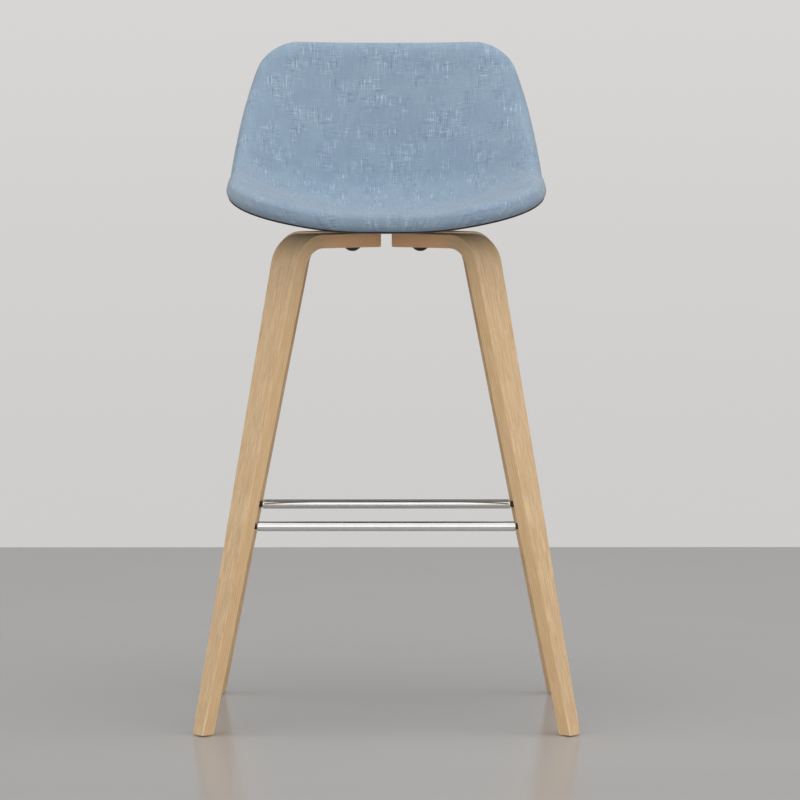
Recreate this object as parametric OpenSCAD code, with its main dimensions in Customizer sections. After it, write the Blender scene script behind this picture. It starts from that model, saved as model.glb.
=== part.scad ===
// Counter-height bar stool: a low-backed upholstered shell on four bent plywood legs,
// with a footrest of two round tubes. Millimetres, +Z up, the sitter faces -Y.
// The origin is on the floor under the middle of the base. Left and right are as seen
// by someone who stands in front of the stool.

/* [Seat shell] */
// Height of the arms' upper face, where the shell rests
seat_z = 650; // [620:5:700]
// Front edge of the shell, ahead of the middle of the base
seat_front = 205; // [200:1:210]
// Length of the seat, from the front edge to where the back starts to rise
seat_len = 283; // [270:1:286]
// Radius of the bend between seat and back, on the underside
back_bend_r = 95; // [90:1:110]
// Angle between the seat and the back's straight stretch
back_angle = 76.5; // [72:0.5:80]
// Length of the back's straight stretch
back_len = 186; // [120:1:190]
// Greatest width of the shell
shell_w = 432; // [400:2:440]
// Width of the front edge between its two rounded corners
front_w = 220; // [180:5:260]
// Length of a front corner, back along the side
front_corner = 140; // [90:5:160]
// Radius of the back's two upper corners
top_corner = 42; // [25:1:55]
// How much each side of the back draws in towards the top
back_taper = 51; // [30:1:60]
// How far the middle of the front edge stands ahead of its corners
front_bow = 12; // [0:1:20]
// Upturn of the front edge
front_lift = 5.5; // [0:0.5:10]
// Rise of the shell's sides over its middle: at the front edge
dish_front = 40; // [30:1:45]
// Rise of the sides at the bend
dish_bend = 74; // [50:1:80]
// Rise of the sides at the top of the back
dish_top = 20; // [10:1:30]
// Width of the flat middle of the shell
flat_w = 52; // [40:2:60]
// Thickness of each fabric cover
cover_t = 1.5; // [1:0.1:2]
// Thickness of the moulded plywood
ply_t = 11; // [10:0.5:13]
// Thickness of the foam
foam_t = 13; // [8:0.5:20]
// Radius of the padded roll along the upper edge
roll_r = 18; // [14:1:24]
// Radius that the front cover turns round the lower edge
wrap_r = 8; // [6:0.5:9]

/* [Legs] */
// Direction of each leg, from the stool's width towards its depth
leg_az = 40; // [36:1:45]
// Distance from the middle of the base to a leg's outer face, at the floor
leg_reach = 321.5; // [300:0.5:330]
// Lean of the legs from the vertical
leg_lean = 13.3; // [10:0.1:15]
// Thickness of the bent plywood
leg_t = 18.5; // [16:0.5:20]
// Inner radius of the bend under the seat
leg_bend_r = 30; // [25:1:40]
// Width of a leg at the floor
foot_w = 22; // [20:0.5:30]
// Width of a leg at the seat
arm_w = 55; // [50:0.5:58]
// Gap between the four arms under the seat
arm_gap = 14.5; // [10:0.5:18]

/* [Footrest] */
// Height of the two footrest bars' centre lines
bar_z = 270; // [230:5:300]
// Diameter of a footrest bar
bar_d = 12.7; // [12:0.1:13]
// Wall of the bar's tube
bar_wall = 1.5; // [1:0.1:2]
// Distance of the front bar's centre line from the stool's middle
front_bar_y = 162; // [159:0.5:162.5]
// Length of the front bar
front_bar_len = 339; // [330:1:339]
// Distance of the rear bar's centre line from the stool's middle
rear_bar_y = 160.5; // [158:0.5:161]
// Length of the rear bar
rear_bar_len = 344; // [335:1:344]
// Diameter of the spacers between a bar and its legs
spacer_d = 8; // [7:0.5:9]

/* [Fasteners and feet] */
// Diameter of the bolts that hold the shell
bolt_d = 8; // [6:1:8]
// Length of those bolts under the head
bolt_len = 30; // [28:1:30]
// Diameter of the bolt heads
bolt_head_d = 19; // [17:0.5:20]
// Distance of the bolts from the stool's middle, across the width
bolt_x = 45; // [42:1:48]
// Distance between the two bolts of one arm
bolt_pitch = 36; // [30:1:38]
// Diameter of the studs that hold the footrest bars
stud_d = 5; // [4:0.5:5]
// Diameter of a foot glide
glide_d = 14; // [12:0.5:16]
// Height of a foot glide
glide_h = 2; // [2:0.5:3]
// How far the glides are let into the legs
glide_sunk = 1; // [0.5:0.1:1.2]

/* [Hidden] */
$fn = 48;
QUARTERS = ["front_left", "front_right", "rear_left", "rear_right"];
PER_LEG = ["leg", "leg_bolts", "leg_washers", "leg_tnuts", "footrest_spacer", "footrest_stud",
           "foot_glide", "glide_nail"];

OAK = [0.80, 0.66, 0.48];
DENIM = [0.56, 0.65, 0.75];
CHROME = [0.82, 0.83, 0.85];
BRONZE = [0.20, 0.17, 0.14];
BLACK = [0.08, 0.08, 0.08];
NYLON = [0.80, 0.77, 0.70];
STEEL = [0.65, 0.66, 0.68];
fit = 0.1;      // clearance all round a part that sits in a hole
past = 1;       // how far a cutter runs past the face that it cuts

// ---- Shell: a sheet laid out by x, across, and s, the distance along its middle line ----

half_w = shell_w / 2;
bend_len = back_bend_r * back_angle * PI / 180;
shell_len = seat_len + bend_len + back_len;
bend_mid = seat_len + bend_len / 2;
lift_len = 130;     // length of the front edge's upturn
turn_before = 130;  // how far before and after the bend the sides turn from up to forward
turn_after = 60;
core_h = cover_t + ply_t;
shell_t = core_h + foam_t + cover_t;
wall_h = core_h + 3.5;   // height over which the padded edge stands upright

function mix(a, b, t) = a + (b - a) * t;
function ease(t) = let (c = min(1, max(0, t))) c * c * (3 - 2 * c);
function unit(v) = v / norm(v);

// Middle line of the shell's underside: [y, z] at the distance s from the front edge
function middle(s) =
    s < seat_len
    ? [s - seat_front, seat_z + front_lift * pow(max(0, 1 - s / lift_len), 2)]
    : let (a = min(back_angle, (s - seat_len) / back_bend_r * 180 / PI),
           rest = max(0, s - seat_len - bend_len))
      [seat_len - seat_front + back_bend_r * sin(a) + rest * cos(back_angle),
       seat_z + back_bend_r * (1 - cos(a)) + rest * sin(back_angle)];

function dish(s) =
    s < bend_mid ? mix(dish_front, dish_bend, ease(s / bend_mid))
                 : mix(dish_bend, dish_top, ease((s - bend_mid) / (shell_len - bend_mid)));

// Point of the underside: the sides rise from the middle line, upwards on the seat and
// forwards on the back
function underside(x, s) =
    let (c = middle(s),
         out = max(0, abs(x) - flat_w / 2) / (half_w - flat_w / 2),
         rise = dish(s) * out * out,
         a = back_angle * ease((s - seat_len + turn_before) / (turn_before + bend_len + turn_after)))
    [x, c[0] - rise * sin(a), c[1] + rise * cos(a)];

function facing(x, s) =
    unit(cross(underside(x + 1, s) - underside(x - 1, s), underside(x, s + 1) - underside(x, s - 1)));

// How far a rounded corner of the given length and depth draws the side in
function corner(e, len, depth) = e >= len ? 0 : depth * (1 - sqrt(1 - pow(1 - e / len, 2)));

function half_width(s) =
    half_w - corner(s, front_corner, half_w - front_w / 2)
           - corner(shell_len - s, top_corner, top_corner)
           - back_taper * pow(max(0, s - bend_mid) / (shell_len - bend_mid), 2);

// Point of a layer: u runs from -1 to 1 across, inset is the distance in from the outline
// and up the distance from the underside, square to it
function layer_point(u, s, inset, up) =
    let (x = u * (half_width(s) - inset),
         along = inset + s * (1 - 2 * inset / shell_len),
         bowed = along + front_bow * pow(1 - s / shell_len, 2) * pow(x / half_w, 2))
    underside(x, bowed) + up * facing(x, bowed);

// Height of a padded face: it comes down in a quarter round towards the outline
function padded_up(u, s, r, top) =
    let (e = min((1 - abs(u)) * half_width(s), s, shell_len - s))
    e >= r ? top : wall_h + (top - wall_h) * sqrt(1 - pow(1 - e / r, 2));

ROWS = concat([for (a = [0:15:75]) front_corner * (1 - cos(a))],
              [for (k = [0:3]) mix(front_corner, seat_len, k / 3)],
              [for (k = [1:6]) seat_len + bend_len * k / 6],
              [for (k = [1:2]) mix(seat_len + bend_len, shell_len - top_corner, k / 3)],
              [for (a = [90:-15:0]) shell_len - top_corner * (1 - cos(a))]);
COLS = [for (a = [-90:12:90]) sin(a)];
nr = len(ROWS);
nc = len(COLS);

// The outline's grid places, anticlockwise from the front left corner
RIM = concat([for (j = [0:nc - 1]) [0, j]], [for (i = [1:nr - 1]) [i, nc - 1]],
             [for (j = [nc - 2:-1:0]) [nr - 1, j]], [for (i = [nr - 2:-1:1]) [i, 0]]);

function flat_grid(inset, up) = [for (s = ROWS, u = COLS) layer_point(u, s, inset, up)];
function padded_grid(inset, r, top) =
    [for (s = ROWS, u = COLS) layer_point(u, s, inset, padded_up(u, s, r, top))];
function rim_loop(inset, up) = [for (p = RIM) layer_point(COLS[p[1]], ROWS[p[0]], inset, up)];

// Closed sheet between an upper grid and a lower grid, joined round the rim by loops
module sheet(upper, loops, lower) {
    rim = len(RIM);
    low = nr * nc + len(loops) * rim;
    rings = concat([[for (p = RIM) p[0] * nc + p[1]]],
                   [for (k = [0:1:len(loops) - 1]) [for (i = [0:rim - 1]) nr * nc + k * rim + i]],
                   [[for (p = RIM) low + p[0] * nc + p[1]]]);
    top_faces = [for (i = [0:nr - 2], j = [0:nc - 2]) let (a = i * nc + j)
                 each [[a, a + nc, a + nc + 1], [a, a + nc + 1, a + 1]]];
    low_faces = [for (f = top_faces) [f[2] + low, f[1] + low, f[0] + low]];
    bands = [for (k = [0:len(rings) - 2], i = [0:rim - 1])
             let (n = (i + 1) % rim, a = rings[k], b = rings[k + 1])
             each [[a[i], a[n], b[n]], [a[i], b[n], b[i]]]];
    polyhedron(concat(upper, [for (l = loops) each l], lower), concat(top_faces, bands, low_faces));
}

// Loops of a quarter turn under the shell's lower edge, of radius r about the wrap's centre
function wrap_loops(r, angles) =
    [for (a = angles) rim_loop(wrap_r - r * cos(a), wrap_r - r * sin(a))];

// ---- Places on the base ----

bend_out_r = leg_bend_r + leg_t;
bend_z = seat_z - bend_out_r;
bend_x = (leg_reach * cos(leg_lean) - bend_out_r - bend_z * sin(leg_lean)) / cos(leg_lean);
bolt_y = bolt_x * tan(leg_az);
washer_t = 1.2;
tnut_top = seat_z + core_h - 0.3;   // upper face of the T-nut flanges, just under the ply's face
tnut_flange_t = 1.4;
tnut_flange_r = 10;
tnut_barrel_r = 5;

FRONT_BAR = [front_bar_len, front_bar_y];
REAR_BAR = [rear_bar_len, rear_bar_y];
bar_r = bar_d / 2;
bar_chamfer = 1.5;
plug_len = 12;          // solid end of a bar, drilled for the stud
stud_in_bar = 10;
stud_out = 22;          // how far a stud stands out of the bar
foot_at = leg_reach - glide_h * tan(leg_lean) - leg_t / cos(leg_lean) / 2;
nail_r = 1.2;
nail_len = 16;
nail_head_r = 3;
nail_head_h = 0.7;
nail_head_z = 0.5;      // how far the nail's head stays clear of the floor

module flipped(on, axis) if (on) mirror(axis) children(); else children();

// Children drawn for the rear right quarter, moved to the named quarter
module in_quarter(quarter)
    flipped(quarter == "front_left" || quarter == "rear_left", [1, 0, 0])
        flipped(quarter == "front_left" || quarter == "front_right", [0, 1, 0]) children();

// Frame of a leg: x outwards along the floor, y across the leg
module in_leg_frame() rotate([0, 0, leg_az]) children();

// Frame of a footrest stud: x along the bar, from the middle of its end towards the leg.
// $bar is the length of that bar and its distance from the stool's middle
module in_stud_frame() translate([$bar[0] / 2, $bar[1], bar_z]) children();

module rod_x(r, x0, x1) translate([x0, 0, 0]) rotate([0, 90, 0]) cylinder(r = r, h = x1 - x0);

module at_arm_bolts()
    for (side = [-1, 1]) translate([bolt_x, bolt_y + side * bolt_pitch / 2, 0]) children();

module at_all_bolts()
    for (sx = [-1, 1], sy = [-1, 1], side = [-1, 1])
        translate([sx * bolt_x, sy * (bolt_y + side * bolt_pitch / 2), 0]) children();

// Low dome of radius r and height h that hangs below z = 0
module dome_down(r, h) {
    ball = (r * r + h * h) / (2 * h);
    intersection() {
        translate([0, 0, ball - h]) sphere(ball);
        translate([0, 0, -h]) cylinder(r = r, h = h);
    }
}

// ---- Seat shell ----

module seat_front_cover() color(DENIM)
    sheet(padded_grid(0, roll_r, shell_t),
          concat(wrap_loops(wrap_r, [0, 45, 90]), wrap_loops(wrap_r - cover_t, [90, 45, 0])),
          padded_grid(cover_t, roll_r - cover_t, shell_t - cover_t));

module seat_foam() color("wheat")
    sheet(padded_grid(cover_t, roll_r - cover_t, shell_t - cover_t), [], flat_grid(cover_t, core_h));

module seat_plywood_shell() color("burlywood") difference() {
    sheet(flat_grid(cover_t, core_h), wrap_loops(wrap_r - cover_t, [0, 45]),
          flat_grid(wrap_r, cover_t));
    at_all_bolts() {
        translate([0, 0, seat_z]) cylinder(r = tnut_barrel_r + fit, h = core_h);
        translate([0, 0, tnut_top - tnut_flange_t]) cylinder(r = tnut_flange_r + fit, h = 3 + past);
    }
}

module seat_rear_cover() color(DENIM) difference() {
    sheet(flat_grid(wrap_r, cover_t), [], flat_grid(wrap_r, 0));
    at_all_bolts() translate([0, 0, seat_z - past])
        cylinder(r = tnut_barrel_r + fit, h = cover_t + 2 * past + 1);
}

// ---- Legs ----

// Side view of all that lies within a bent outline: r is its bend's radius, reach its
// distance from the middle at the floor and top its height
module leg_outline(r, reach, top) {
    tangent = [cos(leg_lean), sin(leg_lean)];
    centre = [bend_x, bend_z];
    polygon([[-past, -past], [reach + past * tan(leg_lean), -past], centre + r * tangent, centre,
             [bend_x, top], [-past, top]]);
    translate(centre) circle(r, $fn = 96);
}

// Side view of a leg: a leaning blade, the bend and the arm
module leg_side() difference() {
    leg_outline(bend_out_r, leg_reach, seat_z);
    leg_outline(leg_bend_r, leg_reach - leg_t / cos(leg_lean), seat_z - leg_t);
}

module leg() color(OAK) difference() {
    intersection() {
        in_leg_frame() rotate([90, 0, 0]) translate([0, 0, -arm_w]) linear_extrude(2 * arm_w) leg_side();
        in_leg_frame() rotate([90, 0, 90]) linear_extrude(leg_reach + past)
            polygon([[-foot_w / 2, 0], [foot_w / 2, 0], [arm_w / 2, seat_z], [-arm_w / 2, seat_z]]);
        translate([arm_gap / 2, arm_gap / 2, glide_h - glide_sunk]) cube([leg_reach, leg_reach, seat_z]);
    }
    at_arm_bolts() translate([0, 0, seat_z - leg_t - past])
        cylinder(r = bolt_d / 2 + 0.5, h = leg_t + 2 * past);
    in_stud_frame() rod_x(stud_d / 2 + fit, 0, stud_out + 0.5);
    in_leg_frame() translate([foot_at, 0, 0]) {
        cylinder(r = nail_r + fit, h = nail_len + past);
        cylinder(r = glide_d / 2 + fit, h = glide_h);
    }
}

// ---- Fasteners of the shell ----

module leg_bolts() color(BRONZE) at_arm_bolts()
    translate([0, 0, seat_z - leg_t - washer_t]) difference() {
        union() {
            dome_down(bolt_head_d / 2, 4.2);
            cylinder(r = bolt_d / 2, h = bolt_len);
        }
        translate([0, 0, -4.2 - past]) cylinder(r = 2.9, h = 3 + past, $fn = 6);
    }

module leg_washers() color(BRONZE) at_arm_bolts()
    translate([0, 0, seat_z - leg_t - washer_t]) difference() {
        cylinder(r = bolt_head_d / 2 + 0.5, h = washer_t);
        translate([0, 0, -past]) cylinder(r = bolt_d / 2 + 0.4, h = washer_t + 2 * past);
    }

module leg_tnuts() color(STEEL) at_arm_bolts() difference() {
    union() {
        translate([0, 0, tnut_top - tnut_flange_t]) cylinder(r = tnut_flange_r, h = tnut_flange_t);
        translate([0, 0, seat_z + cover_t + 1]) cylinder(r = tnut_barrel_r, h = ply_t - 2);
    }
    translate([0, 0, seat_z]) cylinder(r = bolt_d / 2 + fit, h = core_h + past);
}

// ---- Footrest ----

// Tube with plugged and chamfered ends, the plugs drilled for the studs
module footrest_bar() color(CHROME) translate([0, $bar[1], bar_z]) difference() {
    end = $bar[0] / 2;
    rotate([0, 90, 0]) rotate_extrude() polygon([
        [0, -end], [bar_r - bar_chamfer, -end], [bar_r, bar_chamfer - end],
        [bar_r, end - bar_chamfer], [bar_r - bar_chamfer, end], [0, end]]);
    rod_x(bar_r - bar_wall, plug_len - end, end - plug_len);
    for (side = [-1, 1]) translate([side * (end - plug_len / 2), 0, 0])
        rod_x(stud_d / 2 + fit, -plug_len / 2 - past, plug_len / 2 + past);
}

// The wood of a leg's blade, as a slab with the same inner face
module inside_leg() in_leg_frame() translate([leg_reach - leg_t / cos(leg_lean), 0, 0])
    rotate([0, -leg_lean, 0]) translate([0, -arm_w, 0]) cube([2 * leg_t, 2 * arm_w, seat_z]);

module footrest_spacer() color(BLACK) difference() {
    in_stud_frame() rod_x(spacer_d / 2, 0, 14);
    inside_leg();
    in_stud_frame() rod_x(stud_d / 2 + fit, -past, 14 + past);
}

module footrest_stud() color(STEEL) in_stud_frame() rod_x(stud_d / 2, -stud_in_bar, stud_out);

// ---- Feet ----

module foot_glide() color(NYLON) in_leg_frame() translate([foot_at, 0, 0]) difference() {
    rotate_extrude() polygon([[0, 0], [glide_d / 2 - 0.8, 0], [glide_d / 2, 0.8],
                              [glide_d / 2, glide_h], [0, glide_h]]);
    translate([0, 0, -past]) cylinder(r = nail_r + fit, h = glide_h + 2 * past);
    translate([0, 0, -past]) cylinder(r = nail_head_r + fit, h = past + nail_head_z + nail_head_h);
}

module glide_nail() color(STEEL) in_leg_frame() translate([foot_at, 0, nail_head_z]) {
    cylinder(r = nail_head_r, h = nail_head_h);
    cylinder(r = nail_r, h = nail_len - nail_head_z);
}

seat_plywood_shell();
seat_foam();
seat_front_cover();
seat_rear_cover();
flipped(true, [0, 1, 0]) footrest_bar($bar = FRONT_BAR);  // footrest_bar_front
footrest_bar($bar = REAR_BAR);  // footrest_bar_rear
for (quarter = QUARTERS) let ($bar = search("r", quarter)[0] == 0 ? REAR_BAR : FRONT_BAR) in_quarter(quarter) {
    leg();
    leg_bolts();
    leg_washers();
    leg_tnuts();
    footrest_spacer();
    footrest_stud();
    foot_glide();
    glide_nail();
}
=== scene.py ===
# Counter-height bar stool: a low-backed upholstered shell on four bent plywood legs, with a
# footrest of two round tubes. Metres, +Z up, the sitter faces -Y, left and right as seen from
# in front. The sections follow the order in which the stool is put together.
import math

import bmesh
import bpy
from mathutils import Matrix, Vector


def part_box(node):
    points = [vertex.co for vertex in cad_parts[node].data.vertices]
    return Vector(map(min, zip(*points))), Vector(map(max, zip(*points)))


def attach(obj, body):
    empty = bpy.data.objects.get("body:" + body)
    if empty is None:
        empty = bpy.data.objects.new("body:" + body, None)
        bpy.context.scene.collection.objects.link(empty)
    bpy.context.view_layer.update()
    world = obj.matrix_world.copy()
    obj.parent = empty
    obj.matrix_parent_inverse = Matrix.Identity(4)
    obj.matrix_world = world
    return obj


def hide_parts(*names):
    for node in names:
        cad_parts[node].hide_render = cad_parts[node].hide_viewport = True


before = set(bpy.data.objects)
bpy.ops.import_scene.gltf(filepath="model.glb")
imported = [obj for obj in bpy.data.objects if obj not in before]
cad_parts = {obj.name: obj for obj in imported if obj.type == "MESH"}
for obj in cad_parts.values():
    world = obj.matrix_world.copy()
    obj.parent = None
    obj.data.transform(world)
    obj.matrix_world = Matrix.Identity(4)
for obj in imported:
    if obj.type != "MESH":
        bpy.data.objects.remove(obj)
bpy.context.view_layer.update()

# ---- Legs ----
# Four legs of bent plywood with oak face veneers. Each is a blade that widens upwards, bends
# in under the seat and runs on as a flat arm. The arms are mitred round a narrow gap in the
# middle, and all edges are eased by hand.
QUARTERS = {"front_left": (-1, -1), "front_right": (1, -1), "rear_left": (-1, 1), "rear_right": (1, 1)}
ARM_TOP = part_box("leg_rear_right")[1].z
LEG_AZ, LEAN = math.radians(40), math.radians(13.3)
LEG_T, INNER_R = 0.0185, 0.030
OUTER_R = INNER_R + LEG_T
FOOT_W, ARM_W, ARM_GAP, REACH = 0.022, 0.055, 0.0145, 0.3215
FOOT_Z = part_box("leg_rear_right")[0].z
outward = Vector((math.cos(LEAN), 0, math.sin(LEAN)))
upward = Vector((-math.sin(LEAN), 0, math.cos(LEAN)))
bend_z = ARM_TOP - OUTER_R
bend = Vector(((REACH * math.cos(LEAN) - OUTER_R - bend_z * math.sin(LEAN)) / math.cos(LEAN), 0, bend_z))
# Blade and arm start too long, and are cut at the floor and at the mitre
BLADE_SPARE, ARM_SPARE = 0.02, 0.03
BLADE = bend_z / math.cos(LEAN) + BLADE_SPARE
MID_R = INNER_R + LEG_T / 2
ARRIS, PLY = 0.0013, 0.00185


def as_piece(bm, name, material, slot, *nodes):
    mesh = bpy.data.meshes.new(name)
    bm.to_mesh(mesh)
    bm.free()
    for face in mesh.polygons:
        face.use_smooth = True
    mesh.materials.append(material)
    piece = bpy.data.objects.new(name, mesh)
    bpy.context.scene.collection.objects.link(piece)
    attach(piece, "root")
    if nodes:
        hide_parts(*nodes)
    return piece


def even_shading(piece):
    shading = piece.modifiers.new("even_shading", "WEIGHTED_NORMAL")
    shading.weight = 50


def only(kind, geometry):
    """The vertices, edges or faces among what an operator has made."""
    return [g for g in geometry if isinstance(g, kind)]


def along_leg(p):
    """Place in the veneer: up the blade and along the arm, across, and depth from the outer face."""
    d = Vector((p.x - bend.x, 0, p.z - bend.z))
    if d.dot(upward) < 0:
        return Vector((d.dot(upward), p.y, OUTER_R - d.dot(outward)))
    if d.x > 0:
        return Vector(((math.atan2(d.z, d.x) - LEAN) * MID_R, p.y, OUTER_R - d.length))
    return Vector(((math.pi / 2 - LEAN) * MID_R - d.x, p.y, OUTER_R - d.z))


def leg_body(quarter):
    bm = bmesh.new()
    bmesh.ops.create_grid(bm, x_segments=1, y_segments=1, size=1)
    for v in bm.verts:
        v.co = bend + outward * (OUTER_R if v.co.x > 0 else INNER_R) + Vector((0, v.co.y, 0))
    start = bm.faces[:]
    blade = bmesh.ops.extrude_face_region(bm, geom=start)["geom"]
    bmesh.ops.translate(bm, verts=only(bmesh.types.BMVert, blade), vec=-upward * BLADE)
    top = [f for f in bm.faces if all((v.co - bend).dot(upward) > -1e-6 for v in f.verts)]
    turned = bmesh.ops.spin(bm, geom=top + top[0].edges[:] + top[0].verts[:], cent=bend, axis=(0, -1, 0),
                            angle=math.pi / 2 - LEAN, steps=18)["geom_last"]
    last = only(bmesh.types.BMFace, turned)
    arm = bmesh.ops.extrude_face_region(bm, geom=last)["geom"]
    bmesh.ops.delete(bm, geom=last, context="FACES_ONLY")
    bmesh.ops.translate(bm, verts=only(bmesh.types.BMVert, arm), vec=(-bend.x - ARM_SPARE, 0, 0))
    for v in bm.verts:
        v.co.y *= (FOOT_W + (ARM_W - FOOT_W) * v.co.z / ARM_TOP) / 2
    to_floor = Matrix.Rotation(LEG_AZ, 4, "Z")
    bmesh.ops.transform(bm, matrix=to_floor, verts=bm.verts[:])
    floor_cut = (0, 0, FOOT_Z), (0, 0, 1)
    mitre_cuts = ((ARM_GAP / 2, 0, 0), (1, 0, 0)), ((0, ARM_GAP / 2, 0), (0, 1, 0))
    for co, no in (floor_cut, *mitre_cuts):
        bmesh.ops.bisect_plane(bm, geom=bm.verts[:] + bm.edges[:] + bm.faces[:], plane_co=co, plane_no=no,
                               clear_inner=True)
        bmesh.ops.holes_fill(bm, edges=[e for e in bm.edges if e.is_boundary])
    bmesh.ops.recalc_face_normals(bm, faces=bm.faces[:])
    arris = [e for e in bm.edges if len(e.link_faces) == 2 and e.calc_face_angle() > 0.6]
    bmesh.ops.bevel(bm, geom=arris, offset=ARRIS, offset_type="OFFSET", segments=3, profile=0.5,
                    affect="EDGES", material=-1)
    grain = bm.verts.layers.float_vector.new("grain")
    for v in bm.verts:
        v[grain] = along_leg(to_floor.inverted() @ v.co)
    bmesh.ops.scale(bm, vec=(*QUARTERS[quarter], 1), verts=bm.verts[:])
    bmesh.ops.recalc_face_normals(bm, faces=bm.faces[:])
    return bm


def node_group(name, inputs, outputs):
    """Shader node group with (name, kind, default) inputs and (name, kind) outputs."""
    group = bpy.data.node_groups.new(name, "ShaderNodeTree")
    for label, kind, default in inputs:
        socket = group.interface.new_socket(label, in_out="INPUT", socket_type="NodeSocket" + kind)
        if default is not None:
            socket.default_value = default
    for label, kind in outputs:
        group.interface.new_socket(label, in_out="OUTPUT", socket_type="NodeSocket" + kind)
    return group, group.nodes.new("NodeGroupInput"), group.nodes.new("NodeGroupOutput")


def maths(tree, operation, a, b=0.0, clamp=False):
    node = tree.nodes.new("ShaderNodeMath")
    node.operation, node.use_clamp = operation, clamp
    for socket, value in zip(node.inputs, (a, b)):
        if isinstance(value, bpy.types.NodeSocket):
            tree.links.new(value, socket)
        else:
            socket.default_value = value
    return node.outputs[0]


def stretched(tree, vector, scale, offset=(0, 0, 0)):
    node = tree.nodes.new("ShaderNodeMapping")
    tree.links.new(vector, node.inputs["Vector"])
    node.inputs["Scale"].default_value, node.inputs["Location"].default_value = scale, offset
    return node.outputs[0]


def noise(tree, vector, scale=1.0, detail=2.0, rough=0.5, warp=0.0):
    node = tree.nodes.new("ShaderNodeTexNoise")
    tree.links.new(vector, node.inputs["Vector"])
    for label, value in (("Scale", scale), ("Detail", detail), ("Roughness", rough), ("Distortion", warp)):
        node.inputs[label].default_value = value
    return node.outputs["Fac"]


def spread(tree, value, low, high, to_low=0.0, to_high=1.0):
    node = tree.nodes.new("ShaderNodeMapRange")
    node.interpolation_type = "SMOOTHSTEP"
    tree.links.new(value, node.inputs["Value"])
    for label, v in (("From Min", low), ("From Max", high), ("To Min", to_low), ("To Max", to_high)):
        node.inputs[label].default_value = v
    return node.outputs["Result"]


def blended(tree, factor, a, b, kind="MIX"):
    node = tree.nodes.new("ShaderNodeMix")
    node.data_type, node.blend_type = "RGBA", kind
    for socket, value in ((node.inputs[0], factor), (node.inputs[6], a), (node.inputs[7], b)):
        if isinstance(value, bpy.types.NodeSocket):
            tree.links.new(value, socket)
        else:
            socket.default_value = value
    return node.outputs[2]


def from_middle(tree, value, rate):
    """Distance from the middle of the stripe that value lies in, with rate stripes to one unit."""
    place = maths(tree, "FRACT", maths(tree, "MULTIPLY", value, rate))
    return maths(tree, "ABSOLUTE", maths(tree, "SUBTRACT", place, 0.5))


def colour(r, g, b):
    """Linear colour of a paint or cloth swatch read as 0 to 255."""
    return tuple(((c / 255 + 0.055) / 1.055) ** 2.4 if c > 10 else c / 255 / 12.92 for c in (r, g, b)) + (1,)


def finish_of(name, roughness, metallic=0.0, **fixed):
    """A material with its Principled shader, and the shader's plain sockets set."""
    material = bpy.data.materials.new(name)
    material.use_nodes = True
    shader = material.node_tree.nodes["Principled BSDF"]
    shader.inputs["Roughness"].default_value, shader.inputs["Metallic"].default_value = roughness, metallic
    for label, value in fixed.items():
        shader.inputs[label.replace("_", " ")].default_value = value
    return material, material.node_tree, shader


def bumped(tree, shader, height, strength, distance):
    bump = tree.nodes.new("ShaderNodeBump")
    bump.inputs["Strength"].default_value, bump.inputs["Distance"].default_value = strength, distance
    tree.links.new(height, bump.inputs["Height"])
    tree.links.new(bump.outputs["Normal"], shader.inputs["Normal"])


def oak_finish():
    material, tree, shader = finish_of("oak_veneer", 0.5, Coat_Weight=0.12, Coat_Roughness=0.35)
    place = tree.nodes.new("ShaderNodeAttribute")
    place.attribute_name = "grain"
    vector = place.outputs["Vector"]
    depth = tree.nodes.new("ShaderNodeSeparateXYZ")
    tree.links.new(vector, depth.inputs[0])
    streaks = noise(tree, stretched(tree, vector, (26, 420, 260)), detail=3, rough=0.6, warp=0.4)
    flames = noise(tree, stretched(tree, vector, (5, 75, 20), (3, 1, 0)), detail=2, warp=1.2)
    rings = spread(tree, from_middle(tree, flames, 9.0), 0.1, 0.5)
    pores = spread(tree, noise(tree, stretched(tree, vector, (55, 1500, 700)), detail=1), 0.6, 0.72)
    cloudy = noise(tree, stretched(tree, vector, (9, 30, 30), (0, 4, 0)), detail=1)
    tone = blended(tree, spread(tree, streaks, 0.3, 0.7), colour(188, 156, 115), colour(217, 188, 148))
    tone = blended(tree, maths(tree, "MULTIPLY", rings, 0.3), tone, colour(185, 150, 108))
    cloudy = maths(tree, "MULTIPLY", spread(tree, cloudy, 0.35, 0.7), 0.4)
    tone = blended(tree, cloudy, tone, colour(206, 174, 138))
    tone = blended(tree, maths(tree, "MULTIPLY", pores, 0.45), tone, colour(140, 104, 72))
    # The edges show the plies: every other one is end grain, and darker
    ends = spread(tree, from_middle(tree, depth.outputs[2], 1 / (2 * PLY)), 0.18, 0.32)
    glue = spread(tree, from_middle(tree, depth.outputs[2], 1 / PLY), 0.4, 0.5)
    inside = maths(tree, "MULTIPLY", spread(tree, depth.outputs[2], 0.0007, 0.0011),
                   spread(tree, depth.outputs[2], LEG_T - 0.0011, LEG_T - 0.0007, 1.0, 0.0))
    edge = blended(tree, ends, colour(206, 173, 130), colour(194, 159, 115))
    edge = blended(tree, maths(tree, "MULTIPLY", glue, 0.3), edge, colour(150, 112, 76))
    pale = maths(tree, "MULTIPLY", spread(tree, streaks, 0.3, 0.7), 0.45)
    edge = blended(tree, pale, edge, colour(219, 190, 147))
    # Painted light: along the arms the edge is painted paler and redder than along the blades, to lift the
    # arms out of the shade under the seat
    arm_painted_light = maths(tree, "MULTIPLY", spread(tree, depth.outputs[0], 0.03, 0.08), 0.8)
    edge = blended(tree, arm_painted_light, edge, colour(244, 190, 142))
    tone = blended(tree, inside, tone, edge)
    tree.links.new(tone, shader.inputs["Base Color"])
    tree.links.new(spread(tree, streaks, 0.2, 0.8, 0.56, 0.42), shader.inputs["Roughness"])
    height = maths(tree, "SUBTRACT", maths(tree, "MULTIPLY", streaks, 0.4), pores)
    bumped(tree, shader, maths(tree, "SUBTRACT", height, maths(tree, "MULTIPLY", glue, inside)), 0.35, 0.0002)
    return material


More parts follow.
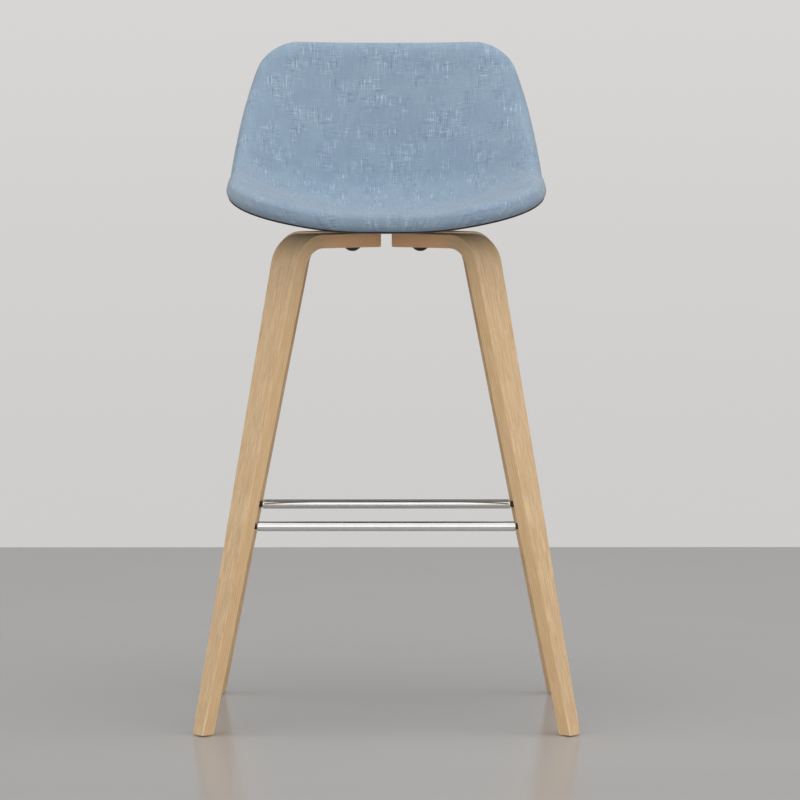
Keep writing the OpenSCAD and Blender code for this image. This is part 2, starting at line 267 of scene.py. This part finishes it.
oak = oak_finish()
for quarter in QUARTERS:
    even_shading(as_piece(leg_body(quarter), "leg_veneered_" + quarter, oak, "leg_wood", "leg_" + quarter))

# ---- Bolts, washers and T-nuts ----
# Two button-head bolts with hexagon sockets hold each arm, in dark bronze plating on steel.
# They pass the arm and the shell's plywood into zinc-plated T-nuts set in its upper face.
DOME, SHANK_R, SOCKET_R, SOCKET_DEPTH = 0.0042, 0.004, 0.0029, 0.003


def button_bolt(bm, r, dome, shank_r, length, socket_r, socket_depth):
    """Bolt along +Z, its head's flat face at z = 0 and the dome hanging below it."""
    ball = (r * r + dome * dome) / (2 * dome)
    eased = 0.0003
    lip = math.asin(min(1, (r - eased) / ball))
    rows = [(shank_r - 0.0005, length), (shank_r, length - 0.0006), (shank_r, 0.0), (r - eased, 0.0),
            (r, -eased)]
    low = math.asin(socket_r * 1.25 / ball)
    for k in range(6):
        a = lip + (low - lip) * k / 5
        rows.append((ball * math.sin(a), ball - dome - ball * math.cos(a)))
    line = [bm.verts.new((x, 0, z)) for x, z in rows]
    spokes = [bm.edges.new(pair) for pair in zip(line, line[1:])]
    bmesh.ops.spin(bm, geom=line + spokes, cent=(0, 0, 0), axis=(0, 0, 1), angle=2 * math.pi, steps=24,
                   use_merge=True)
    bmesh.ops.remove_doubles(bm, verts=bm.verts[:], dist=1e-6)
    face_z = rows[-1][1]
    rim = [e for e in bm.edges if e.is_boundary and e.verts[0].co.z < 0]
    for hex_r, z in ((socket_r + eased, face_z - 0.0002), (socket_r, face_z),
                     (socket_r, face_z + socket_depth)):
        ring = bmesh.ops.extrude_edge_only(bm, edges=rim)["geom"]
        for v in only(bmesh.types.BMVert, ring):
            a = math.atan2(v.co.y, v.co.x)
            flat = hex_r * math.cos(math.pi / 6) / math.cos((a + math.pi / 6) % (math.pi / 3) - math.pi / 6)
            v.co = Vector((flat * math.cos(a), flat * math.sin(a), z))
        rim = only(bmesh.types.BMEdge, ring)
    bmesh.ops.holes_fill(bm, edges=[e for e in bm.edges if e.is_boundary])
    bmesh.ops.recalc_face_normals(bm, faces=bm.faces[:])


def joined_copies(make, matrices):
    """One mesh of the same shape at each place."""
    whole = bmesh.new()
    for matrix in matrices:
        one = bmesh.new()
        make(one)
        bmesh.ops.transform(one, matrix=matrix, verts=one.verts[:])
        spare = bpy.data.meshes.new("spare")
        one.to_mesh(spare)
        one.free()
        whole.from_mesh(spare)
        bpy.data.meshes.remove(spare)
    return whole


def rubbed_metal():
    """Plating that is cloudy and faintly scratched: takes a scale, gives a 0 to 1 mask and a fine height."""
    group, take, give = node_group("rubbed_metal", [("Vector", "Vector", None)],
                                   [("Cloud", "Float"), ("Scratch", "Float")])
    cloud = noise(group, take.outputs["Vector"], 60, 3, 0.6)
    fine = noise(group, stretched(group, take.outputs["Vector"], (900, 200, 900)), 1, 2, 0.6)
    group.links.new(spread(group, cloud, 0.3, 0.7), give.inputs["Cloud"])
    group.links.new(spread(group, fine, 0.45, 0.75), give.inputs["Scratch"])
    return group


rubbed = rubbed_metal()


def plated(name, dark, light, rough, rubbed_rough, bump=0.05):
    material, tree, shader = finish_of(name, rough, 1.0)
    where = tree.nodes.new("ShaderNodeTexCoord")
    wear = tree.nodes.new("ShaderNodeGroup")
    wear.node_tree = rubbed
    tree.links.new(where.outputs["Object"], wear.inputs["Vector"])
    tree.links.new(blended(tree, wear.outputs["Cloud"], dark, light), shader.inputs["Base Color"])
    mixed = maths(tree, "ADD", maths(tree, "MULTIPLY", wear.outputs["Cloud"], 0.5),
                  maths(tree, "MULTIPLY", wear.outputs["Scratch"], 0.5))
    tree.links.new(spread(tree, mixed, 0.0, 1.0, rough, rubbed_rough), shader.inputs["Roughness"])
    bumped(tree, shader, wear.outputs["Scratch"], bump, 0.0001)
    return material


def finish_node(node, material):
    """Gives a piece that keeps its plain shape its material."""
    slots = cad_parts[node].data.materials
    slots.clear()
    slots.append(material)


bronze = plated("bronze_plating", colour(52, 44, 38), colour(84, 70, 58), 0.3, 0.48)
zinc = plated("zinc_plating", colour(176, 178, 180), colour(206, 206, 202), 0.32, 0.5)
for quarter in QUARTERS:
    low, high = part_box("leg_bolts_" + quarter)
    head_r, length = (high.x - low.x) / 2, high.z - low.z - DOME
    places = [Matrix.Translation(((low.x + high.x) / 2, y, low.z + DOME))
              for y in (low.y + head_r, high.y - head_r)]
    bolts = joined_copies(
        lambda bm: button_bolt(bm, head_r, DOME, SHANK_R, length, SOCKET_R, SOCKET_DEPTH), places)
    even_shading(as_piece(bolts, "bolts_" + quarter, bronze, "dark_bolts", "leg_bolts_" + quarter))
    for node, material in (("leg_washers_", bronze), ("leg_tnuts_", zinc), ("footrest_stud_", zinc),
                           ("glide_nail_", zinc)):
        finish_node(node + quarter, material)

# ---- Footrest ----
# Two straight steel tubes, one between the front legs and one between the rear legs, with
# rounded plugged ends, chrome plated. A stud in each end goes through a black rubber spacer
# into the leg.
BAR_EASED = 0.0028


def round_bar(node):
    low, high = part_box(node)
    r = (high.z - low.z) / 2
    bm = bmesh.new()
    bmesh.ops.create_cone(bm, cap_ends=True, segments=64, radius1=r, radius2=r, depth=high.x - low.x)
    rims = [e for e in bm.edges if abs(e.verts[0].co.z - e.verts[1].co.z) < 1e-6]
    bmesh.ops.bevel(bm, geom=rims, offset=BAR_EASED, segments=5, profile=0.5, affect="EDGES", material=-1)
    across = Matrix.Translation((low + high) / 2) @ Matrix.Rotation(math.pi / 2, 4, "Y")
    bmesh.ops.transform(bm, matrix=across, verts=bm.verts[:])
    bmesh.ops.recalc_face_normals(bm, faces=bm.faces[:])
    return bm


chrome = plated("chrome_plating", colour(236, 237, 239), colour(243, 244, 245), 0.06, 0.10, 0.01)
for place in ("front", "rear"):
    node = "footrest_bar_" + place
    even_shading(as_piece(round_bar(node), "footrest_tube_" + place, chrome, "chrome", node))


def rubber_finish():
    material, tree, shader = finish_of("spacer_rubber", 0.6)
    where = tree.nodes.new("ShaderNodeTexCoord")
    grain = noise(tree, where.outputs["Object"], 900, 3, 0.6)
    dust = noise(tree, where.outputs["Object"], 70, 2)
    tree.links.new(blended(tree, spread(tree, dust, 0.4, 0.75), colour(22, 22, 23), colour(38, 37, 36)),
                   shader.inputs["Base Color"])
    tree.links.new(spread(tree, grain, 0.3, 0.7, 0.5, 0.72), shader.inputs["Roughness"])
    bumped(tree, shader, grain, 0.4, 0.00015)
    return material


rubber = rubber_finish()
for quarter in QUARTERS:
    finish_node("footrest_spacer_" + quarter, rubber)

# ---- Feet ----
# A nail-on glide under each leg: a low button of undyed nylon round a zinc-plated nail, its
# head sunk clear of the floor.


def nylon_finish():
    material, tree, shader = finish_of("glide_nylon", 0.45)
    where = tree.nodes.new("ShaderNodeTexCoord")
    scuffs = noise(tree, stretched(tree, where.outputs["Object"], (500, 120, 500)), 1, 3, 0.65)
    tone = blended(tree, spread(tree, scuffs, 0.5, 0.75), colour(176, 168, 150), colour(120, 113, 100))
    tree.links.new(tone, shader.inputs["Base Color"])
    tree.links.new(spread(tree, scuffs, 0.4, 0.8, 0.4, 0.65), shader.inputs["Roughness"])
    bumped(tree, shader, scuffs, 0.3, 0.0001)
    return material


nylon = nylon_finish()
for quarter in QUARTERS:
    finish_node("foot_glide_" + quarter, nylon)

# ---- Shell ----
# Eleven millimetres of moulded plywood under the upholstery, pressed into one dished sheet:
# the seat's sides rise as it runs back, and on the back they come forward.
SEAT_LEN, SHELL_W, BACK_R, BACK_A, BACK_LEN = 0.283, 0.432, 0.095, math.radians(76.5), 0.186
SEAT_FRONT, SEAT_Z = 0.205, ARM_TOP
HALF_W = SHELL_W / 2
BEND_LEN = BACK_R * BACK_A
SHELL_LEN = SEAT_LEN + BEND_LEN + BACK_LEN
BEND_MID = SEAT_LEN + BEND_LEN / 2
FRONT_CORNER, TOP_CORNER = 0.140, 0.042
FRONT_HALF, FLAT_HALF = 0.110, 0.026


def ease(t):
    t = min(1, max(0, t))
    return t * t * (3 - 2 * t)


def middle(s):
    if s < SEAT_LEN:
        return s - SEAT_FRONT, SEAT_Z + 0.0055 * max(0, 1 - s / 0.13) ** 2
    a, rest = min(BACK_A, (s - SEAT_LEN) / BACK_R), max(0, s - SEAT_LEN - BEND_LEN)
    return (SEAT_LEN - SEAT_FRONT + BACK_R * math.sin(a) + rest * math.cos(BACK_A),
            SEAT_Z + BACK_R * (1 - math.cos(a)) + rest * math.sin(BACK_A))


def underside(x, s):
    y, z = middle(s)
    if s < BEND_MID:
        dish = 0.040 + 0.034 * ease(s / BEND_MID)
    else:
        dish = 0.074 - 0.054 * ease((s - BEND_MID) / (SHELL_LEN - BEND_MID))
    rise = dish * (max(0, abs(x) - FLAT_HALF) / (HALF_W - FLAT_HALF)) ** 2
    a = BACK_A * ease((s - SEAT_LEN + 0.130) / (0.130 + BEND_LEN + 0.060))
    return Vector((x, y - rise * math.sin(a), z + rise * math.cos(a)))


def facing(x, s):
    d = 0.001
    across = underside(x + d, s) - underside(x - d, s)
    return across.cross(underside(x, s + d) - underside(x, s - d)).normalized()


def corner(e, length, depth):
    return 0 if e >= length else depth * (1 - math.sqrt(max(0, 1 - (1 - e / length) ** 2)))


def half_width(s):
    drawn_in = 0.051 * (max(0, s - BEND_MID) / (SHELL_LEN - BEND_MID)) ** 2
    front = corner(s, FRONT_CORNER, HALF_W - FRONT_HALF)
    return HALF_W - front - corner(SHELL_LEN - s, TOP_CORNER, TOP_CORNER) - drawn_in


def flat_place(u, s, inset):
    return u * (half_width(s) - inset), inset + s * (1 - 2 * inset / SHELL_LEN)


def on_shell(u, s, inset, up):
    x, along = flat_place(u, s, inset)
    bowed = along + 0.012 * (1 - s / SHELL_LEN) ** 2 * (x / HALF_W) ** 2
    return underside(x, bowed) + up * facing(x, bowed)


def ply_finish():
    material, tree, shader = finish_of("shell_ply", 0.6)
    where = tree.nodes.new("ShaderNodeTexCoord")
    streaks = noise(tree, stretched(tree, where.outputs["Object"], (260, 9, 260)), 1, 3, 0.6)
    layers = maths(tree, "FRACT", maths(tree, "MULTIPLY", noise(tree, where.outputs["Object"], 4, 1), 12))
    tone = blended(tree, streaks, colour(186, 150, 108), colour(222, 194, 154))
    layers = maths(tree, "MULTIPLY", spread(tree, layers, 0.4, 0.6), 0.3)
    tone = blended(tree, layers, tone, colour(168, 132, 92))
    tree.links.new(tone, shader.inputs["Base Color"])
    bumped(tree, shader, streaks, 0.3, 0.0002)
    return material


finish_node("seat_plywood_shell", ply_finish())

# ---- Upholstery ----
# Thin foam is glued over the plywood, and a dusty blue slub-weave cloth is pulled over it, down
# round a padded roll at the edge and under it. A second panel of the same cloth covers the
# underside and back. The two meet in a seam with a black welt, just inside the lower edge.
WALL, ROLL_R, PAD_TOP = 0.016, 0.018, 0.027
COLUMNS, ROWS = 40, 44
REAR_INSET, WELT_INSET, WELT_R, WELT_HANG = 0.0094, 0.008, 0.0013, 0.0002
YARN_REPEAT = 0.0011


def row_at(k):
    """Place along the shell of a cross row: close together at both ends, where the edge turns."""
    if k <= 12:
        return FRONT_CORNER * (1 - math.cos(math.pi / 2 * k / 12))
    if k <= 19:
        return FRONT_CORNER + (SEAT_LEN - FRONT_CORNER) * (k - 12) / 7
    if k <= 29:
        return SEAT_LEN + BEND_LEN * (k - 19) / 10
    if k <= 36:
        return SEAT_LEN + BEND_LEN + (BACK_LEN - TOP_CORNER) * (k - 29) / 7
    return SHELL_LEN - TOP_CORNER * (1 - math.cos(math.pi / 2 * (ROWS - k) / 8))


side_line = [Vector((half_width(s), s)) for s in
             [FRONT_CORNER * (1 - math.cos(math.pi / 2 * k / 40)) for k in range(41)]
             + [FRONT_CORNER + (SHELL_LEN - FRONT_CORNER - TOP_CORNER) * k / 40 for k in range(1, 41)]
             + [SHELL_LEN - TOP_CORNER * (1 - math.cos(math.pi / 2 * (20 - k) / 20)) for k in range(1, 21)]]


def from_edge(x, s):
    """Distance from the cloth's outline, measured on the flat pattern."""
    p = Vector((abs(x), s))
    nearest = min(s if p.x <= FRONT_HALF else 1, SHELL_LEN - s if p.x <= side_line[-1].x else 1)
    for a, b in zip(side_line, side_line[1:]):
        t = min(1, max(0, (p - a).dot(b - a) / (b - a).length_squared))
        nearest = min(nearest, (p - a - t * (b - a)).length)
    return nearest


def pad_height(u, s):
    e = from_edge(*flat_place(u, s, 0))
    if e >= ROLL_R:
        return PAD_TOP
    return WALL + (PAD_TOP - WALL) * math.sqrt(max(0, 1 - (1 - e / ROLL_R) ** 2))


def taken_up(u, s):
    """Extra cloth that the roll takes up, from its start to this place: the arc less its width."""
    turn = math.acos(min(1, max(0, 1 - from_edge(*flat_place(u, s, 0)) / ROLL_R)))
    steps = [turn + (math.pi / 2 - turn) * (k + 0.5) / 12 for k in range(12)]
    rates = [math.hypot(ROLL_R * math.sin(a), (PAD_TOP - WALL) * math.cos(a)) for a in steps]
    return sum(rates) * (math.pi / 2 - turn) / 12 - ROLL_R * math.cos(turn)


def cloth_sheet(inset, height, rim, inner, extra=lambda u, s: 0):
    """Closed panel: an outer face, loops of (inset, height) round the edge, and an inner face."""
    bm = bmesh.new()
    bmesh.ops.create_grid(bm, x_segments=COLUMNS, y_segments=ROWS, size=1)
    u_of, s_of, run_of = (bm.verts.layers.float.new(n) for n in ("u_of", "s_of", "run_of"))
    for v in bm.verts:
        v[u_of] = math.sin(math.pi / 2 * v.co.x)
        v[s_of] = row_at(round((v.co.y + 1) / 2 * ROWS))
        v.co = on_shell(v[u_of], v[s_of], inset, height(v[u_of], v[s_of]))
    back = bmesh.ops.duplicate(bm, geom=bm.faces[:])["geom"]
    back_verts = set(only(bmesh.types.BMVert, back))
    for v in back_verts:
        v.co = on_shell(v[u_of], v[s_of], *inner)
    for v in bm.verts:
        v[run_of] = 0 if v in back_verts else extra(v[u_of], v[s_of])
    edge = [e for e in bm.edges if e.is_boundary and e.verts[0] not in back_verts]
    run, last = extra(1, SHELL_LEN / 2), (inset, height(1, SHELL_LEN / 2))
    for loop in rim:
        made = bmesh.ops.extrude_edge_only(bm, edges=edge)["geom"]
        run += math.hypot(loop[0] - last[0], loop[1] - last[1])
        for v in only(bmesh.types.BMVert, made):
            v[run_of] = run
            v.co = on_shell(v[u_of], v[s_of], *loop)
        edge = only(bmesh.types.BMEdge, made)
        last = loop
    bmesh.ops.remove_doubles(bm, verts=bm.verts[:], dist=2e-6)
    bmesh.ops.recalc_face_normals(bm, faces=bm.faces[:])
    pattern = bm.loops.layers.uv.new("pattern")
    for face in bm.faces:
        for corner_of in face.loops:
            v = corner_of.vert
            x, along = flat_place(v[u_of], v[s_of], 0)
            x_in, along_in = flat_place(v[u_of], v[s_of], WELT_INSET)
            out = Vector((x - x_in, along - along_in))
            past_edge = out.normalized() * v[run_of] if out.length > 0 else out
            corner_of[pattern].uv = Vector((x, along)) + past_edge
    return bm


def slub_weave():
    """Plain weave of uneven yarn. Vector is the cloth's pattern in metres, warp along its Y."""
    group, take, give = node_group(
        "slub_weave", [("Vector", "Vector", None), ("Cloth", "Color", (0.3, 0.4, 0.5, 1)),
                       ("Pale yarn", "Color", (0.5, 0.6, 0.7, 1)),
                       ("Deep yarn", "Color", (0.2, 0.3, 0.4, 1))],
        [("Color", "Color"), ("Height", "Float"), ("Roughness", "Float")])
    vector = take.outputs["Vector"]
    parts = group.nodes.new("ShaderNodeSeparateXYZ")
    group.links.new(vector, parts.inputs[0])
    rate = 2 * math.pi / YARN_REPEAT
    ends = maths(group, "SINE", maths(group, "MULTIPLY", parts.outputs[0], rate))
    picks = maths(group, "SINE", maths(group, "MULTIPLY", parts.outputs[1], rate))
    over = maths(group, "MULTIPLY", ends, picks)

    def threads(scale, start, low, high):
        return spread(group, noise(group, stretched(group, vector, scale, start), 1, 1), low, high)

    warp_slub = threads((760, 44, 1), (0, 0, 0), 0.56, 0.70)
    weft_slub = threads((54, 800, 1), (7, 3, 0), 0.57, 0.71)
    warp_thin = threads((720, 40, 1), (2, 9, 0), 0.55, 0.67)
    weft_thin = threads((48, 740, 1), (5, 5, 0), 0.55, 0.68)
    crossed = spread(group, maths(group, "MULTIPLY", warp_slub, weft_slub), 0.1, 0.5)
    patches = noise(group, stretched(group, vector, (26, 20, 1), (4, 2, 0)), 1, 2)
    bunched = noise(group, stretched(group, vector, (32, 22, 1), (3, 8, 0)), 1, 2)
    bunched = spread(group, bunched, 0.40, 0.62, 0.2, 0.95)
    base = blended(group, spread(group, patches, 0.3, 0.7), take.outputs["Cloth"],
                   blended(group, 0.16, take.outputs["Cloth"], colour(150, 176, 176)))
    thin = maths(group, "MAXIMUM", warp_thin, weft_thin)
    base = blended(group, maths(group, "MULTIPLY", maths(group, "MULTIPLY", thin, bunched), 0.75), base,
                   take.outputs["Deep yarn"])
    weft_share = maths(group, "MULTIPLY", weft_slub, 0.8)
    thick = maths(group, "MULTIPLY", maths(group, "ADD", warp_slub, weft_share), 0.5)
    thick = maths(group, "MULTIPLY", maths(group, "ADD", thick, crossed, clamp=True), bunched)
    base = blended(group, thick, base, take.outputs["Pale yarn"])
    crossing = maths(group, "MULTIPLY", spread(group, over, -1.0, 1.0), 0.08)
    base = blended(group, crossing, base, take.outputs["Pale yarn"])
    group.links.new(base, give.inputs["Color"])
    height = maths(group, "ADD", maths(group, "MULTIPLY", over, 0.35), thick)
    height = maths(group, "SUBTRACT", height, maths(group, "MULTIPLY", thin, 0.4))
    group.links.new(height, give.inputs["Height"])
    group.links.new(spread(group, thick, 0.0, 1.0, 0.92, 0.78), give.inputs["Roughness"])
    return group


def cloth_finish():
    material, tree, shader = finish_of("blue_slub_cloth", 0.9, Sheen_Weight=0.25, Sheen_Roughness=0.5)
    shader.inputs["Specular IOR Level"].default_value = 0.2
    where = tree.nodes.new("ShaderNodeUVMap")
    where.uv_map = "pattern"
    weave = tree.nodes.new("ShaderNodeGroup")
    weave.node_tree = slub_weave()
    tree.links.new(where.outputs["UV"], weave.inputs["Vector"])
    weave.inputs["Cloth"].default_value = colour(119, 137, 156)
    weave.inputs["Pale yarn"].default_value = colour(174, 190, 208)
    weave.inputs["Deep yarn"].default_value = colour(90, 109, 131)
    tree.links.new(weave.outputs["Color"], shader.inputs["Base Color"])
    tree.links.new(weave.outputs["Roughness"], shader.inputs["Roughness"])
    bumped(tree, shader, weave.outputs["Height"], 0.5, 0.0004)
    return material


cloth = cloth_finish()
front_inner, rear_inner = (0.0015, 0.0125), (0.0088, 0.0015)
front_rim = [(0, 0.0120), (0.0002, 0.008), (0.0017, 0.0042), (0.0045, 0.0014), (0.0071, 0.0002),
             (0.0079, 0.0009), (0.0076, 0.0017), (0.0047, 0.0036), (0.0022, 0.0056), front_inner]
front = as_piece(cloth_sheet(0, pad_height, front_rim, front_inner, taken_up), "cushioned_front", cloth,
                 "blue_fabric", "seat_front_cover", "seat_foam")
rear_rim = [(0.0084, 0.0007), (0.0084, 0.0012), rear_inner]
rear = as_piece(cloth_sheet(REAR_INSET, lambda u, s: 0.0001, rear_rim, rear_inner), "rear_panel", cloth,
                "blue_fabric", "seat_rear_cover")
PAD_SWELL, GLUED_EDGE, LOOSENED, SWELL_FRAMES = 0.003, 0.004, 0.03, 20


def swell(piece, cap):
    """Blows the pad up a little against the pull of its cloth, held at its edge and where it is glued."""
    scene, mesh = bpy.context.scene, piece.data
    at_rest = [v.co.copy() for v in mesh.vertices]
    u_of, s_of = (mesh.attributes[n].data for n in ("u_of", "s_of"))
    held = piece.vertex_groups.new(name="held")
    free = {}
    for v in mesh.vertices:
        u, s = u_of[v.index].value, s_of[v.index].value
        top = on_shell(u, s, 0, pad_height(u, s))
        share = 0.0
        if (v.co - top).length < 1e-4:
            share = ease((from_edge(*flat_place(u, s, 0)) - GLUED_EDGE) / LOOSENED)
        free[v.index] = share
        held.add([v.index], 1 - share, "REPLACE")
    pull = piece.modifiers.new("pull", "CLOTH")
    settings = pull.settings
    settings.quality, settings.mass = 6, 0.3
    settings.tension_stiffness, settings.bending_stiffness = 30, 2
    settings.use_pressure, settings.uniform_pressure_force = True, 4.0
    settings.effector_weights.gravity = 0
    settings.vertex_group_mass = "held"
    scene.frame_start, scene.frame_end = 1, SWELL_FRAMES
    pull.point_cache.frame_start, pull.point_cache.frame_end = 1, SWELL_FRAMES
    for number in range(1, SWELL_FRAMES + 1):
        scene.frame_set(number)
    blown = piece.evaluated_get(bpy.context.evaluated_depsgraph_get()).to_mesh()
    moved = [v.co.copy() for v in blown.vertices]
    piece.modifiers.remove(pull)
    scene.frame_set(1)
    for v in mesh.vertices:
        step = moved[v.index] - at_rest[v.index]
        v.co = at_rest[v.index] + step * min(1, cap * free[v.index] / max(step.length, 1e-9))
    piece.vertex_groups.clear()


swell(front, PAD_SWELL)
for panel in (front, rear):
    for name in ("u_of", "s_of", "run_of"):
        panel.data.attributes.remove(panel.data.attributes[name])
    rounder = panel.modifiers.new("rounder", "SUBSURF")
    rounder.levels = rounder.render_levels = 1


def welt():
    """Black bead sewn into the seam all the way round, hanging a little below the cloth."""
    across = [math.sin(math.pi / 2 * (k / 20 - 1)) for k in range(COLUMNS)]
    around = [(u, 0) for u in across] + [(1, row_at(k)) for k in range(ROWS)]
    around += [(-u, SHELL_LEN) for u in across] + [(-1, row_at(ROWS - k)) for k in range(ROWS)]
    turns = [2 * math.pi * k / 8 for k in range(8)]
    bm = bmesh.new()
    rings = [[bm.verts.new(on_shell(u, s, WELT_INSET + WELT_R * math.cos(a),
                                    WELT_R * math.sin(a) - WELT_HANG)) for a in turns] for u, s in around]
    for here, there in zip(rings, rings[1:] + rings[:1]):
        for k in range(8):
            bm.faces.new((here[k], here[k - 1], there[k - 1], there[k]))
    bmesh.ops.recalc_face_normals(bm, faces=bm.faces[:])
    return bm


as_piece(welt(), "edge_welt", rubber, "black_rubber")

# ---- Studio ----
# A pale grey floor that ends a little way behind the stool, a plain pale surround, two large
# soft lights, and a camera a few metres in front, a little above the seat.
CAMERA_TILT, CAMERA_TURN = 0.0651, 0.00329
floor_mesh = bmesh.new()
bmesh.ops.create_grid(floor_mesh, x_segments=1, y_segments=1, size=1)
laid = Matrix.Translation((0, -2.88, 0)) @ Matrix.Diagonal((7, 5.12, 1, 1))
bmesh.ops.transform(floor_mesh, matrix=laid, verts=floor_mesh.verts[:])
mesh = bpy.data.meshes.new("studio_floor")
floor_mesh.to_mesh(mesh)
floor_mesh.free()
floor = bpy.data.objects.new("studio_floor", mesh)
bpy.context.scene.collection.objects.link(floor)
floor_paint, tree, shader = finish_of("studio_floor", 0.22)
shader.inputs["Specular IOR Level"].default_value = 0.15
where = tree.nodes.new("ShaderNodeTexCoord")
cloudy = noise(tree, where.outputs["Object"], 3, 2)
tree.links.new(blended(tree, cloudy, colour(161, 159, 158), colour(166, 164, 162)),
               shader.inputs["Base Color"])
mesh.materials.append(floor_paint)

# The surround is a pale wall behind the stool, brighter to the sides and in front, and dark high
# up at the back, which gives bright metal its edge
world = bpy.data.worlds.new("surround")
world.use_nodes = True
tree = world.node_tree
where = tree.nodes.new("ShaderNodeTexCoord")
sky = tree.nodes.new("ShaderNodeSeparateXYZ")
tree.links.new(where.outputs["Generated"], sky.inputs[0])
high = spread(tree, sky.outputs[2], 0.12, 0.25)
high_behind = maths(tree, "MULTIPLY", high, spread(tree, sky.outputs[1], 0.05, 0.3))
tree.links.new(blended(tree, high_behind, colour(210, 209, 208), colour(60, 60, 60)),
               tree.nodes["Background"].inputs["Color"])
wall = spread(tree, sky.outputs[2], -0.1, 0.06, 0.96, 1.06)
room = spread(tree, sky.outputs[2], 0.05, 0.5, 2.15, 1.45)
ahead = spread(tree, sky.outputs[1], 0.2, 0.8, 1.0, 0.0)
more = maths(tree, "MULTIPLY", ahead, maths(tree, "SUBTRACT", room, wall))
tree.links.new(maths(tree, "ADD", wall, more), tree.nodes["Background"].inputs["Strength"])
bpy.context.scene.world = world


def soft_light(name, size, watts, place, target):
    lamp = bpy.data.lights.new(name, "AREA")
    lamp.shape, lamp.size, lamp.size_y, lamp.energy = "RECTANGLE", size[0], size[1], watts
    holder = bpy.data.objects.new(name, lamp)
    bpy.context.scene.collection.objects.link(holder)
    holder.location = place
    holder.rotation_euler = (Vector(target) - Vector(place)).to_track_quat("-Z", "Y").to_euler()
    holder.visible_camera = holder.visible_glossy = False


soft_light("overhead", (2.8, 2.4), 39, (0.2, -0.5, 2.7), (0, 0, 0.5))
soft_light("front", (4.5, 3.2), 34, (1.3, -4.4, 1.8), (0, 0, 0.5))

eye = bpy.data.cameras.new("eye")
eye.lens, eye.sensor_width, eye.clip_end = 186.26, 36, 50
camera = bpy.data.objects.new("eye", eye)
bpy.context.scene.collection.objects.link(camera)
camera.location = (0, -5.5497, 0.7866)
camera.rotation_euler = (math.pi / 2 - CAMERA_TILT, 0, -CAMERA_TURN)
bpy.context.scene.camera = camera
bpy.context.scene.view_settings.view_transform = "Standard"
